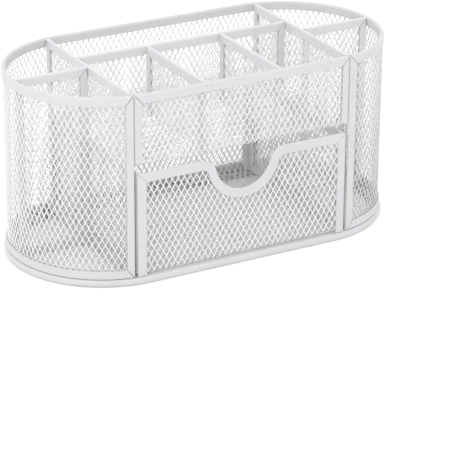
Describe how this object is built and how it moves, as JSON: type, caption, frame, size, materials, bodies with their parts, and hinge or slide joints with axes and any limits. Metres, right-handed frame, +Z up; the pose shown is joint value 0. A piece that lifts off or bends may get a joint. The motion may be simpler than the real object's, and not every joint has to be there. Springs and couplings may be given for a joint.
{
  "type": "desk organizer",
  "caption": "Stadium-shaped desk organizer of white powder-coated expanded steel mesh: open wells and trays for pens and small items, and a front drawer with a scooped finger pull.",
  "frame": {"origin": "middle of the footprint, on the flat underside of the base ring", "axes": "+X to the right along the length, -Y towards the front where the drawer opens, +Z up"},
  "size_m": [0.2234, 0.1094, 0.106],
  "materials": {
    "white_strip": "satin white powder coat on folded steel strip",
    "white_mesh": "satin white powder coat on expanded steel mesh"
  },
  "bodies": {
    "organizer": {"outer_wall_mesh": "white_mesh", "top_rim": "white_strip", "wall_foot_strip": "white_strip", "left_wall_post": "white_strip", "right_wall_post": "white_strip", "base_ring": "white_strip", "base_mesh": "white_mesh", "front_shelf_mesh": "white_mesh", "front_panel_frame": "white_strip", "left_cross_mesh": "white_mesh", "left_cross_frame": "white_strip", "right_cross_mesh": "white_mesh", "right_cross_frame": "white_strip", "long_divider_mesh": "white_mesh", "long_divider_frame": "white_strip", "left_short_mesh": "white_mesh", "left_short_frame": "white_strip", "right_short_mesh": "white_mesh", "right_short_frame": "white_strip", "left_end_mesh": "white_mesh", "left_end_frame": "white_strip", "right_end_mesh": "white_mesh", "right_end_frame": "white_strip"},
    "drawer": {"drawer_tray_mesh": "white_mesh", "drawer_front_frame": "white_strip", "drawer_back_frame": "white_strip", "drawer_left_mesh": "white_mesh", "drawer_left_frame": "white_strip", "drawer_right_mesh": "white_mesh", "drawer_right_frame": "white_strip"}
  },
  "joints": [
    {"name": "drawer_slide", "type": "slide", "parent": "organizer", "child": "drawer", "axis": [0, -1, 0], "range_m": [0, 0.11]}
  ]
}
